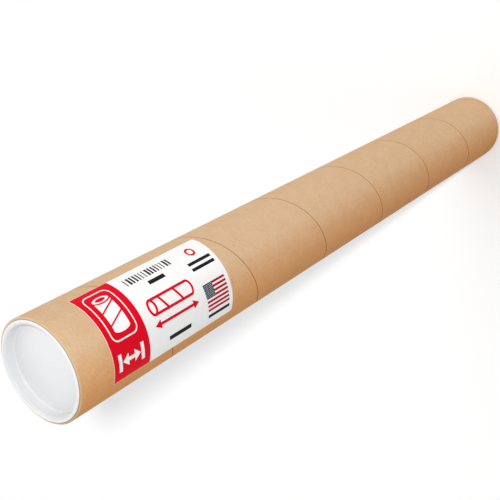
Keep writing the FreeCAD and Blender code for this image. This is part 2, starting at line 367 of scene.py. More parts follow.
@dataclass(frozen=True, kw_only=True)
class CutPaperboard(Finish):
    """Wound paperboard where the saw has cut it: the tube's ring-shaped ends.

    It gives the eye a pale, fuzzy peach ring with thin rings in it, one for each glued ply. Next to the
    cap's rim the ring is painted greyer as painted shade, with a thin painted shadow line where the rim sits
    on it; its outer edge is painted darker as painted edge shade, and one side is painted darker as painted
    shade.
    """

    name: str = "cut_paperboard_end"
    board: str = "#E6CEB3"
    glue_line: Tint = Tint("#D8B997", 0.2, 1.0)
    # painted shade: the ring is painted greyer next to the cap's rim
    painted_rim_shade: Tint = Tint("#E8DFD4", 49.9 * MM, 49.1 * MM, Lay.MULTIPLIED)
    # painted shadow: a dark line where the cap's rim sits on the ring
    painted_rim_shadow: Tint = Tint("#A8917A", 49.1 * MM, 48.6 * MM)
    # painted edge shade: darker towards the ring's outer edge
    painted_edge_shade: Tint = Tint("#E9E6DA", 49.9 * MM, 50.5 * MM, Lay.MULTIPLIED)
    # painted shade: the side that is painted darker
    painted_shade_tint: str = "#E0D7CD"
    ply_thickness: float = 0.5 * MM
    fuzz_size: float = 0.6 * MM
    fuzz_sway: float = 2.5  # how far the fuzz sways a ply's ring, as an angle of its wave
    relief: float = 0.08 * MM
    bump: float = 0.8
    roughness: float = 0.88
    specular: float = 0.25

    def paint(self, tree: Tree) -> Painted:
        """Paints by the distance to the axis: each ply is one wave of a sine.

        Args:
            tree: The material's node tree.

        Returns:
            The colour, and the fuzz as the height.
        """
        place = add(tree, "TexCoord", {}).outputs["Object"]
        radius = from_axis(tree, place)
        fuzz = add(tree, "TexNoise", {"Vector": place, "Scale": 1 / self.fuzz_size, "Detail": 3.0}).outputs[0]
        waves = FULL_TURN / self.ply_thickness
        angle = add(tree, "Math", {0: radius, 1: waves}, operation="MULTIPLY").outputs[0]
        swayed = add(tree, "Math", {0: fuzz, 1: self.fuzz_sway, 2: angle}, operation="MULTIPLY_ADD")
        wave = add(tree, "Math", {0: swayed.outputs[0]}, operation="SINE").outputs[0]
        colour = self.glue_line.over(tree, wave, linear(self.board))
        # painted shade by the cap's rim and at the outer edge, and the painted shadow line under the rim
        for tint in (self.painted_rim_shade, self.painted_rim_shadow, self.painted_edge_shade):
            colour = tint.over(tree, radius, colour)
        return {"Base Color": colour}, fuzz


@dataclass(frozen=True, kw_only=True)
class RecycledPly(Finish):
    """Recycled chip paper: the tube's inner ply, seen in the bore when a cap is out.

    It gives the eye a duller, greyer brown than the outer ply, with coarse clouds and many small flecks.
    """

    name: str = "recycled_paper_bore"
    dark: str = "#A88A66"
    clouds: Mottle = Mottle(7 * MM, Tint("#BFA27E", 0.3, 0.7), detail=5)
    flecks: Mottle = Mottle(1.6 * MM, Tint("#7C6248", 0.68, 0.76), detail=1)
    relief: float = 0.06 * MM
    roughness: float = 0.85

    def paint(self, tree: Tree) -> Painted:
        """Paints two noises in the object's own space.

        Args:
            tree: The material's node tree.

        Returns:
            The colour, and the clouds as the height.
        """
        place = add(tree, "TexCoord", {}).outputs["Object"]
        colour, clouds = self.clouds.over(tree, place, linear(self.dark))
        colour, _ = self.flecks.over(tree, place, colour)
        return {"Base Color": colour}, clouds


@dataclass(frozen=True, kw_only=True)
class MouldedPolyethylene(Finish):
    """White low-density polyethylene, injection moulded: the push-in caps.

    It gives the eye a clean, slightly waxy white with a soft sheen, a little light passing through its thin
    edges, and a surface that is never quite even where it shrank in the mould. The skirt's wall in the well,
    and the floor's edge next to it, are painted greyer as painted shade in the well, and one side is painted
    greyer as painted shade.
    """

    name: str = "moulded_white_polyethylene"
    white: str = "#ECECED"
    shrinkage: Mottle = Mottle(11 * MM, Tint("#E7E8E9"), detail=2)
    # painted shade: greys the well's wall and the floor's edge next to it
    skirt: Tint = Tint("#F3F4F5", lay=Lay.MULTIPLIED)
    well_shade_inside: tuple[float, float] = (39.5 * MM, 42.9 * MM)  # radii where its tint begins and is full
    well_shade_outside: tuple[float, float] = (46.2 * MM, 44.8 * MM)
    # painted shade: the side that is painted greyer
    painted_shade_tint: str = "#F2F2F2"
    texture_size: float = 0.9 * MM
    shrinkage_height: float = 3.0  # against the fine texture's
    relief: float = 0.03 * MM
    bump: float = 0.35
    roughness: float = 0.34
    roughness_spread: float = 0.05
    ior: float = 1.51
    glow: float = 0.12
    glow_depth: float = 1.2 * MM

    def paint(self, tree: Tree) -> Painted:
        """Paints a slow noise in the object's own space, and the painted shade in the well by its distance to
        the axis.

        Args:
            tree: The material's node tree.

        Returns:
            The colour, the roughness and the light inside, and both noises as the height.
        """
        place = add(tree, "TexCoord", {}).outputs["Object"]
        colour, shrunk = self.shrinkage.over(tree, place, linear(self.white))
        fine = add(tree, "TexNoise", {"Vector": place, "Scale": 1 / self.texture_size, "Detail": 2.0})
        radius = from_axis(tree, place)
        # painted shade in the well: full on the well's wall, fading out onto the floor and up to the rim
        inside, outside = (
            add(tree, "MapRange", {"Value": radius, "From Min": begins, "From Max": full}).outputs[0]
            for begins, full in (self.well_shade_inside, self.well_shade_outside))
        in_well_shade = add(tree, "Math", {0: inside, 1: outside}, operation="MINIMUM").outputs[0]
        rough = add(tree, "MapRange", {"Value": shrunk, "To Min": self.roughness - self.roughness_spread,
                                       "To Max": self.roughness + self.roughness_spread})
        height = add(tree, "Math", {0: shrunk, 1: self.shrinkage_height, 2: fine.outputs[0]},
                     operation="MULTIPLY_ADD")
        return {"Base Color": self.skirt.over(tree, in_well_shade, colour), "Roughness": rough.outputs[0],
                "Subsurface Weight": self.glow, "Subsurface Scale": self.glow_depth,
                "Subsurface Radius": (1.0, 1.0, 1.0)}, height.outputs[0]


@dataclass(frozen=True, kw_only=True)
class CoatedPaper(Finish):
    """Clay-coated label paper: the sticker's bare white.

    It gives the eye a bright, smooth white with a faint satin sheen and a very fine tooth.
    """

    name: str = "coated_label_paper"
    full: str = "#FAFAF9"
    thin: str = "#F2F2F1"
    # painted shade: the side that is painted greyer, on the paper and the inks
    painted_shade_tint: str = "#EDEDED"
    spread_size: float = 5 * MM
    spread_detail: float = 3.0
    tooth_size: float = 0.5 * MM
    relief: float = 0.01 * MM
    roughness: float = 0.5
    ior: float = 1.5
    specular: float = 0.3

    def paint(self, tree: Tree) -> Painted:
        """Paints a soft noise from the full tone to the thin one, and a fine one for the paper's tooth.

        Args:
            tree: The material's node tree.

        Returns:
            The colour, and the tooth as the height.
        """
        place = add(tree, "TexCoord", {}).outputs["Object"]
        spread = Mottle(self.spread_size, Tint(self.thin), self.spread_detail)
        colour, _ = spread.over(tree, place, linear(self.full))
        tooth = add(tree, "TexNoise", {"Vector": place, "Scale": 1 / self.tooth_size, "Detail": 2.0})
        return {"Base Color": colour}, tooth.outputs[0]


@dataclass(frozen=True, kw_only=True)
class PrintedInk(CoatedPaper):
    """Offset ink on coated paper: one of the label's printed colours, with the paper's tooth under it.

    It gives the eye one strong colour that is a touch thinner here and there, with next to no shine.
    """

    spread_size: float = 2.5 * MM
    spread_detail: float = 4.0
    relief: float = 0.008 * MM
    specular: float = 0.06


def grid_faces(rows: int, columns: int) -> np.ndarray:
    """Quads of a grid whose points are stored row by row.

    Args:
        rows: How many rows of points there are.
        columns: How many points a row has.

    Returns:
        Four point numbers for each quad. A quad faces the side that the direction along a row, crossed
        with the direction to the next row, points to.
    """
    index = np.arange(rows * columns).reshape(rows, columns)
    corners = [index[:-1, :-1], index[:-1, 1:], index[1:, 1:], index[1:, :-1]]
    return np.stack(corners, axis=-1).reshape(-1, 4)


def on_cylinder(radius: np.ndarray, angle: np.ndarray, height: np.ndarray) -> np.ndarray:
    """Points at these radii, angles and heights: x and y are the radius times the cosine and the sine."""
    radius, angle, height = np.broadcast_arrays(radius, angle, height)
    return np.stack([radius * np.cos(angle), radius * np.sin(angle), height], axis=-1)


def mesh_object(name: str, points: np.ndarray, faces: list[list[int]]) -> Piece:
    """Makes a smooth-shaded object at the origin and adds it to the scene.

    Args:
        name: The object's name.
        points: Its points, in an array whose last side holds x, y and z.
        faces: The point numbers of each face.

    Returns:
        The new object.
    """
    mesh = bpy.data.meshes.new(name)
    mesh.from_pydata(points.reshape(-1, 3).tolist(), [], faces)
    mesh.polygons.foreach_set("use_smooth", np.ones(len(mesh.polygons), bool))
    mesh.update()
    piece = bpy.data.objects.new(name, mesh)
    bpy.context.scene.collection.objects.link(piece)
    return piece


def weld(piece: Piece) -> None:
    """Merges points that lie on each other, which closes seams and poles and drops faces of no size.

    Args:
        piece: The piece, whose mesh is changed.
    """
    mesh = bmesh.new()
    mesh.from_mesh(piece.data)
    bmesh.ops.remove_doubles(mesh, verts=mesh.verts, dist=WELD_DISTANCE)
    mesh.to_mesh(piece.data)
    mesh.free()


def report(piece: Piece) -> None:
    """Logs a piece's faces and how many of its edges are open, which is none on a closed piece.

    Args:
        piece: The finished piece.
    """
    mesh = bmesh.new()
    mesh.from_mesh(piece.data)
    open_edges = sum(not edge.is_manifold for edge in mesh.edges)
    LOG.info("%s: %d faces, %d open edges", piece.name, len(mesh.faces), open_edges)
    mesh.free()


def rounded(corners: Sequence[tuple[float, float, float]], steps: int = 6) -> np.ndarray:
    """Rounds the corners of a closed outline with arcs that touch both sides.

    The arc's centre lies on the corner's bisector, the radius over the half angle's sine from the corner.
    Its points turn evenly from the side before to the side after.

    Args:
        corners: Each corner's two coordinates and its radius.
        steps: How many chords make one arc.

    Returns:
        The outline's points, steps + 1 of them for each corner. A corner of no radius repeats its point.
    """
    table = np.array(corners, float)
    point, radius = table[:, :2], table[:, 2:]
    before = np.roll(point, 1, axis=0) - point
    after = np.roll(point, -1, axis=0) - point
    before /= np.linalg.norm(before, axis=1, keepdims=True)
    after /= np.linalg.norm(after, axis=1, keepdims=True)
    bisector = before + after
    length = np.linalg.norm(bisector, axis=1, keepdims=True)
    bisector = np.divide(bisector, length, out=np.zeros_like(bisector), where=length > WELD_DISTANCE)
    cosine = np.clip((before * after).sum(axis=1, keepdims=True), -1, 1)
    half = np.arccos(cosine) / 2
    centre = point + bisector * radius / np.sin(half)
    start = before / np.tan(half) - bisector / np.sin(half)
    end = after / np.tan(half) - bisector / np.sin(half)
    sweep = np.maximum(math.pi - 2 * half, WELD_DISTANCE)
    share = np.linspace(0, 1, steps + 1)[None, :, None]
    first, last = np.sin((1 - share) * sweep[:, None]), np.sin(share * sweep[:, None])
    turned = (first * start[:, None] + last * end[:, None]) / np.sin(sweep[:, None])
    return (centre[:, None] + radius[:, None] * turned).reshape(-1, 2)


def filled_in(path: np.ndarray, longest: float) -> np.ndarray:
    """Adds points to an open path, each found from the length run so far.

    Args:
        path: The path's points.
        longest: The longest stretch that is left between two of them.

    Returns:
        The old and the new points, in order.
    """
    run = np.concatenate([[0], np.cumsum(np.linalg.norm(np.diff(path, axis=0), axis=1))])
    stops = np.union1d(run, np.linspace(0, run[-1], 2 + int(run[-1] / longest)))
    return np.stack([np.interp(stops, run, path[:, i]) for i in (0, 1)], axis=1)


@dataclass
class WoundTube:
    """The spiral-wound cardboard tube, with the outer ply's seam and its two cut ends."""

    radius: float
    far_z: float
    near_z: float
    wall: float = 4.572 * MM
    ply_width: float = 126.0 * MM
    seam_below_top: float = 95.9 * MM
    label_angle: float = math.radians(-90)
    groove_depth: float = 0.4 * MM
    groove_bottom: float = 0.22 * MM  # how far from the seam's middle the groove is at its deepest
    groove_edge: float = 0.45 * MM  # how far from the seam's middle the groove ends
    edge_radius: float = 0.6 * MM
    bore_edge_radius: float = 0.2 * MM
    columns: int = 240
    groove_rows: int = 5
    strip_half_rows: int = 7
    bore_rows: int = 12
    end_rows: int = 5
    arc_rows: int = 4

    @property
    def bore(self) -> float:
        """Radius of the bore."""
        return self.radius - self.wall

    @property
    def lean(self) -> float:
        """Angle of the seam above the horizontal: its sine is the strip's width over the tube's girth."""
        return math.asin(self.ply_width / (FULL_TURN * self.radius))

    @property
    def pitch(self) -> float:
        """How far the seam climbs in one turn."""
        return self.ply_width / math.cos(self.lean)

    def seam_height(self, turns: np.ndarray) -> np.ndarray:
        """Height of the seam after so many turns from the label's middle line."""
        return self.near_z - self.seam_below_top + self.pitch * turns

    def outer_radius(self, across: np.ndarray) -> np.ndarray:
        """Radius of the outer ply at places across the strip.

        Args:
            across: The places, measured from an edge of the strip.

        Returns:
            The tube's radius, less the groove's depth times a smooth step down, from the groove's edge to
            its bottom, of the distance to the nearer edge of the strip.
        """
        to_seam = np.abs((across + self.ply_width / 2) % self.ply_width - self.ply_width / 2)
        share = (to_seam - self.groove_bottom) / (self.groove_edge - self.groove_bottom)
        share = np.clip(share, 0, 1)
        return self.radius - self.groove_depth * (1 - share * share * (3 - 2 * share))

    def strip_rows(self) -> np.ndarray:
        """Sets out the rows of points across the strip.

        Returns:
            Their places: close together at the strip's edges, and far apart between them.
        """
        groove = np.linspace(self.groove_bottom, self.groove_edge, self.groove_rows)
        beside = np.geomspace(2 * self.groove_edge, self.ply_width / 2, self.strip_half_rows)
        half = np.concatenate([[0], groove, beside])
        return np.unique(np.concatenate([half, self.ply_width - half]))

    def winding(self) -> tuple[np.ndarray, np.ndarray, np.ndarray]:
        """The outer ply as a grid that leans with the seam.

        A point's height is the seam's height at its angle plus its place across the strip over the cosine
        of the lean, held between the tube's ends. Its radius follows from its true distance to the seam.

        Returns:
            The points, their places along and across the strip, and the quads.
        """
        top = self.near_z - self.edge_radius
        bottom = self.far_z + self.edge_radius
        last = math.ceil(self.seam_below_top / self.pitch)
        first = -math.ceil((self.near_z - self.far_z) / self.pitch) - 1
        turn = np.arange(first, last)[:, None, None] + np.linspace(0, 1, self.columns + 1)[None, None, :]
        seam = self.seam_height(turn)
        rows = self.strip_rows()
        height = np.clip(seam + rows[None, :, None] / math.cos(self.lean), bottom, top)
        across = (height - seam) * math.cos(self.lean)
        girth = FULL_TURN * self.radius
        along = turn * girth / math.cos(self.lean) + (height - seam) * math.sin(self.lean)
        points = on_cylinder(self.outer_radius(across), self.label_angle + FULL_TURN * turn, height)
        band = grid_faces(len(rows), self.columns + 1)
        bands = np.arange(last - first)[:, None, None] * len(rows) * (self.columns + 1)
        places = np.stack([along, across], axis=-1)
        return points.reshape(-1, 3), places.reshape(-1, 2), (band + bands).reshape(-1, 4)

    def inner_rows(self) -> tuple[np.ndarray, np.ndarray, np.ndarray]:
        """Rows from the near outer edge over the cut end and down the bore to the far outer edge.

        Returns:
            For each row its share of the way from the outer ply to the bore, how far it stands off the
            surface that it is measured from, and its height.
        """
        turn = np.linspace(0, math.pi / 2, self.arc_rows + 1)
        flat = np.linspace(0, 1, self.end_rows + 1)[1:-1]
        middle = (self.near_z + self.far_z) / 2
        share = np.concatenate([np.zeros_like(turn), flat, np.ones_like(turn)])
        outer_off = self.edge_radius * (1 - np.cos(turn))
        bore_off = self.bore_edge_radius * (1 - np.sin(turn))
        flat_off = self.edge_radius + (self.bore_edge_radius - self.edge_radius) * flat
        off = np.concatenate([outer_off, flat_off, bore_off])
        outer_height = self.near_z - self.edge_radius * (1 - np.sin(turn))
        bore_height = self.near_z - self.bore_edge_radius * (1 - np.cos(turn))
        height = np.concatenate([outer_height, np.full(len(flat), self.near_z), bore_height])
        bore = np.linspace(bore_height[-1], 2 * middle - bore_height[-1], self.bore_rows + 1)[1:-1]
        return (
            np.concatenate([share, np.ones_like(bore), share[::-1]]),
            np.concatenate([off, np.zeros_like(bore), off[::-1]]),
            np.concatenate([height, bore, 2 * middle - height[::-1]]),
        )

    def ends_and_bore(self) -> tuple[np.ndarray, np.ndarray, np.ndarray, np.ndarray]:
        """Both cut ends and the bore as one grid.

        A point's radius goes from the outer ply's radius at that end to the bore's radius by its row's
        share, drawn in from the one and out from the other by the row's offset.

        Returns:
            The points, their places on a flat map, the quads and which part of the tube each quad is.
        """
        share, off, height = (values[:, None] for values in self.inner_rows())
        turn = np.linspace(0, 1, self.columns + 1)[None, :]
        edge = np.where(height > (self.near_z + self.far_z) / 2,
                        self.near_z - self.edge_radius, self.far_z + self.edge_radius)
        across = (edge - self.seam_height(turn)) * math.cos(self.lean)
        radius = (1 - share) * (self.outer_radius(across) - off) + share * (self.bore + off)
        angle = self.label_angle + FULL_TURN * turn
        points = on_cylinder(radius, angle, height)
        places = np.stack(np.broadcast_arrays(turn * FULL_TURN * self.radius, height + radius), axis=-1)
        faces = grid_faces(len(share), self.columns + 1)
        in_bore = (share[:-1] == 1) & (share[1:] == 1)
        part = np.where(in_bore, Part.BORE.value, Part.CUT_END.value).repeat(self.columns, axis=1)
        return points.reshape(-1, 3), places.reshape(-1, 2), faces, part.ravel()

    def build(self) -> Piece:
        """Makes the tube.

        Returns:
            The closed piece, dressed in its three finishes.
        """
        ply, ply_places, ply_faces = self.winding()
        inner, inner_places, inner_faces, inner_part = self.ends_and_bore()
        faces = np.concatenate([ply_faces, inner_faces + len(ply)])
        places = np.concatenate([ply_places, inner_places])
        parts = np.concatenate([np.full(len(ply_faces), Part.OUTER_PLY.value), inner_part])
        piece = mesh_object("wound_tube", np.concatenate([ply, inner]), faces.tolist())
        piece.data.uv_layers.new(name=PLY_MAP).data.foreach_set("uv", places[faces].ravel())
        piece.data.polygons.foreach_set("material_index", parts)
        # painted shade: the outer ply and the cut ends are painted darker on one side
        side = PaintedShadeSide(self.radius)
        outer = KraftLiner(painted_shade=side, strip_width=self.ply_width)
        dress(piece, (outer, CutPaperboard(painted_shade=side), RecycledPly()))
        weld(piece)
        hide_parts("tube")
        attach(piece, "tube")
        return piece


@dataclass
class PushInCap:
    """One white push-in cap: a rim on the tube's cut end, a ribbed skirt in the bore and a sunk floor."""

    end: End
    end_z: float
    bore: float
    name: str
    node: str
    rim_overlap: float = 2.2 * MM
    rim_height: float = 1.3 * MM
    rim_width: float = 2.4 * MM
    rim_outer_radius: float = 0.8 * MM
    rim_inner_radius: float = 0.45 * MM
    small_radius: float = 0.3 * MM
    lip_height: float = 0.5 * MM
    lip_radius: float = 1.35 * MM
    wall: float = 1.6 * MM
    skirt_clearance: float = 0.3 * MM
    skirt_taper: float = 0.9 * MM
    foot_radius: float = 1.2 * MM
    well_depth: float = 9.3 * MM
    well_foot_radius: float = 2.2 * MM
    floor: float = 1.4 * MM
    rib_count: int = 2
    rib_height: float = 1.2 * MM
    rib_clearance: float = 0.07 * MM
    gate_radius: float = 2.5 * MM
    gate_height: float = 0.25 * MM
    gate_rounding: float = 0.1 * MM
    floor_dish: float = 0.12 * MM  # how far the middle of the floor has shrunk inwards
    columns: int = 216
    longest_row: float = 2.5 * MM

    def profile(self) -> np.ndarray:
        """Section of the cap from the middle of its underside, up the skirt, over the rim, to its gate.

        Returns:
            Radius and height of each point, with the tube's end at height 0.
        """
        rim = self.bore + self.rim_overlap
        inside = rim - self.rim_width
        skirt = self.bore - self.skirt_clearance
        foot = skirt - self.skirt_taper
        top = -self.well_depth
        under = top - self.floor
        crest = self.bore - self.rib_clearance
        half = self.rib_height / 2
        ribs = []
        for i in reversed(range(self.rib_count)):
            middle = top * (i + 1) / (self.rib_count + 1)
            low_root = skirt - self.skirt_taper * (middle - half) / under
            high_root = skirt - self.skirt_taper * (middle + half) / under
            ribs += [(low_root, middle - half, 0), (crest, middle - half, half / 2),
                     (crest, middle + half, half / 2), (high_root, middle + half, 0)]
        gate = top + self.gate_height
        corners = [
            (0, under, 0), (foot, under, self.foot_radius), *ribs,
            (skirt, 0, self.small_radius), (rim, 0, self.small_radius),
            (rim, self.rim_height, self.rim_outer_radius), (inside, self.rim_height, self.rim_inner_radius),
            (inside, self.lip_height, self.small_radius),
            (skirt - self.wall, self.lip_height, self.lip_radius),
            (foot - self.wall, top, self.well_foot_radius), (self.gate_radius, top, self.gate_rounding),
            (self.gate_radius, gate, self.gate_rounding), (0, gate, 0)]
        path = filled_in(rounded(corners), self.longest_row)
        floor_edge = foot - self.wall - self.well_foot_radius
        sunk = self.floor_dish * np.clip(1 - (path[:, 0] / floor_edge) ** 2, 0, 1)
        path[:, 1] -= np.where(path[:, 1] < top + 2 * self.gate_height, sunk, 0)
        return path

    def build(self) -> Piece:
        """Makes the cap by turning its section about the axis, the other way round at the far end.

        Returns:
            The closed, dressed piece.
        """
        path = self.profile()
        angle = self.end.value * np.linspace(0, FULL_TURN, self.columns + 1)
        height = self.end_z + self.end.value * path[:, 1]
        points = on_cylinder(path[:, :1], angle[None, :], height[:, None])
        piece = mesh_object(self.name, points, grid_faces(len(path), self.columns + 1).tolist())
        # painted shade: the cap is painted greyer on one side
        shaded_side = PaintedShadeSide(self.bore, azimuth=142.0, starts_at=-0.79, full_at=0.42)
        dress(piece, [MouldedPolyethylene(painted_shade=shaded_side)])
        weld(piece)
        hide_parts(self.node)
        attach(piece, self.node)
        return piece


def rectangle(length: float, width: float, radius: float = 0) -> Outline:
    """Outline of a rectangle about the drawing's middle, with rounded corners if a radius is given."""
    x, y = length / 2, width / 2
    return rounded([(-x, -y, radius), (x, -y, radius), (x, y, radius), (-x, y, radius)])


def ellipse(half_length: float, half_width: float, along: float = 0, steps: int = 64) -> Outline:
    """Outline of an ellipse: its half axes times the cosine and sine of even steps round it."""
    turn = np.linspace(0, FULL_TURN, steps, endpoint=False)
    return np.stack([along + half_length * np.cos(turn), half_width * np.sin(turn)], axis=1)


def capsule(length: float, thickness: float, bulge: float, steps: int = 33) -> Outline:
    """Draws a tube seen from its side.

    Args:
        length: Its length, ends and all.
        thickness: Its width.
        bulge: How far each round end stands out.
        steps: How many points make one end.

    Returns:
        The outline: straight sides joined by half ellipses.
    """
    turn = np.linspace(-math.pi / 2, math.pi / 2, steps)
    x = length / 2 - bulge + bulge * np.cos(turn)
    y = thickness / 2 * np.sin(turn)
    return np.concatenate([np.stack([x, y], axis=1), np.stack([-x, -y], axis=1)])


def double_arrow(length: float, width: float, head: float, shaft: float) -> Outline:
    """Draws an arrow with a head at both ends.

    Args:
        length: Its length from tip to tip.
        width: The width of a head.
        head: The length of a head.
        shaft: The width of the shaft.

    Returns:
        The outline. A quarter of it, up to the neck, is mirrored along and across.
    """
    tip = length / 2
    neck = tip - head
    quarter = np.array([(tip, 0), (neck, width / 2), (neck, shaft / 2)])
    mirrored = quarter[::-1] * (-1, 1)
    upper = np.concatenate([quarter, mirrored])
    return np.concatenate([upper, -upper[1:-1]])


def turned(outline: Outline, degrees: float) -> Outline:
    """An outline turned about the drawing's middle."""
    cosine, sine = math.cos(math.radians(degrees)), math.sin(math.radians(degrees))
    return outline @ np.array([[cosine, sine], [-sine, cosine]])


def within(outline: Outline, points: np.ndarray) -> np.ndarray:
    """Finds which points are inside an outline.

    Args:
        outline: The closed outline.
        points: The points.

    Returns:
        For each point, whether a ray from it crosses the outline an odd number of times.
    """
    start, end = outline, np.roll(outline, -1, axis=0)
    x, y = points[:, :1], points[:, 1:]
    spans = (start[:, 1] > y) != (end[:, 1] > y)
    rise = np.where(start[:, 1] == end[:, 1], 1, end[:, 1] - start[:, 1])
    crossing = start[:, 0] + (y - start[:, 1]) * (end[:, 0] - start[:, 0]) / rise
    return (spans & (x < crossing)).sum(axis=1) % 2 == 1


@dataclass
class Sheet:
    """A thin curved sheet on the tube, drawn flat as outlines that ink a field or leave it bare in turn.

    A place on it is its distance down from the label's near edge and its way round from the label's
    middle line, along the surface.
    """

    name: str
    inner: float
    outer: float
    top_z: float
    tube_radius: float
    label_angle: float
    line_spacing: float = 1.5 * MM  # straight lines along the tube, close enough to look round
    cut_tolerance: float = 1e-5  # in millimetres

    def __post_init__(self) -> None:
        """Starts with no outlines."""
        self.steps: list[tuple[Outline, Print]] = []

    def draw(self, outline: Outline, kind: Print, along: float, across: float) -> None:
        """Adds an outline.

        A flat drawing is laid on the tube as it looks from in front: the way round is the radius times
        the angle whose sine is the drawing's own height over the radius.

        Args:
            outline: The outline.
            kind: What it does to the field inside it.
            along: Its middle's distance from the label's near edge.
            across: Its middle's way round from the label's middle line.
        """
        x, y = outline[:, 0], outline[:, 1]
        round_way = self.tube_radius * np.arcsin(y / self.tube_radius)
        self.steps.append((np.stack([along + x, across + round_way], axis=1), kind))

    def field(self, start: float, end: float, low: float, high: float) -> None:
        """Adds an inked rectangle measured along the surface, between these places along and across."""
        corners = np.array([(start, low), (end, low), (end, high), (start, high)])
        self.steps.append((corners, Print.INKED))

    def holds(self, points: np.ndarray) -> np.ndarray:
        """Finds which points are printed.

        Args:
            points: Flat places.

        Returns:
            Whether each is printed. The last outline round it decides.
        """
        printed = np.zeros(len(points), bool)
        for outline, kind in self.steps:
            printed[within(outline, points)] = kind.value
        return printed

    def triangles(self) -> tuple[np.ndarray, np.ndarray]:
        """Cuts the drawing up along its outlines and along straight lines down the tube.

        Returns:
            The flat places, and three of their numbers for each printed triangle.
        """
        corners = np.concatenate([outline for outline, _ in self.steps])
        low, high = corners.min(axis=0), corners.max(axis=0)
        count = max(2, math.ceil((high[1] - low[1]) / self.line_spacing))
        lines = np.linspace(low[1], high[1], count + 1)[1:-1]
        margin = self.line_spacing
        starts = np.stack([np.full_like(lines, low[0] - margin), lines], axis=1)
        ends = np.stack([np.full_like(lines, high[0] + margin), lines], axis=1)
        edges = []
        first = 0
        for outline, _ in self.steps:
            number = first + np.arange(len(outline))
            edges.append(np.stack([number, np.roll(number, -1)], axis=1))
            first += len(outline)
        number = first + np.arange(len(lines))
        edges.append(np.stack([number, number + len(lines)], axis=1))
        points = np.concatenate([corners, starts, ends]) / MM
        places = [Vector(point) for point in points.tolist()]
        made = delaunay_2d_cdt(places, np.concatenate(edges).tolist(), [], 0, self.cut_tolerance)
        flat = np.array([tuple(place) for place in made[0]]) * MM
        faces = np.array(made[2])
        return flat, faces[self.holds(flat[faces].mean(axis=1))]

    def place(self, flat: np.ndarray, radius: float) -> np.ndarray:
        """Lays flat places on the tube at this radius: the way round over the tube's radius is the angle."""
        angle = self.label_angle - flat[:, 1] / self.tube_radius
        return on_cylinder(np.full(len(flat), radius), angle, self.top_z - flat[:, 0])

    def build(self) -> Piece:
        """Makes the sheet.

        Returns:
            A closed thin shell: the outer face, the inner face and, on each side that only one triangle
            has, a wall between them.
        """
        flat, faces = self.triangles()
        used, faces = np.unique(faces, return_inverse=True)
        flat, faces = flat[used], faces.reshape(-1, 3)
        count = len(flat)
        sides = np.concatenate([faces[:, [0, 1]], faces[:, [1, 2]], faces[:, [2, 0]]])
        keys = sides[:, 0] * count + sides[:, 1]
        rim = sides[~np.isin(keys, sides[:, 1] * count + sides[:, 0])]
        walls = np.stack([rim[:, 0], rim[:, 1], rim[:, 1] + count, rim[:, 0] + count], axis=1)
        points = np.concatenate([self.place(flat, self.outer), self.place(flat, self.inner)])
        every = faces[:, ::-1].tolist() + (faces + count).tolist() + walls.tolist()
        piece = mesh_object(self.name, points, every)
        self.shade(piece, len(faces))
        return piece

    def shade(self, piece: Piece, face_count: int) -> None:
        """Shades the broad faces as true cylinders, with normals straight from the axis, and the walls flat.

        Args:
            piece: The sheet, whose faces are the outer ones, the inner ones and the walls, in this order.
            face_count: How many triangles each broad face has.
        """
        mesh = piece.data
        corner = np.empty(len(mesh.loops), np.int32)
        mesh.loops.foreach_get("vertex_index", corner)
        point = np.empty(len(mesh.vertices) * 3, np.float32)
        mesh.vertices.foreach_get("co", point)
        away = point.reshape(-1, 3)[corner] * (1, 1, 0)
        away /= np.linalg.norm(away, axis=1, keepdims=True)
        wall = np.empty(len(mesh.polygons) * 3, np.float32)
        mesh.polygons.foreach_get("normal", wall)
        wall = wall.reshape(-1, 3)[2 * face_count:].repeat(4, axis=0)
        broad = 3 * face_count
        normals = np.concatenate([away[:broad], -away[broad:2 * broad], wall])
        mesh.normals_split_custom_set(normals.tolist())


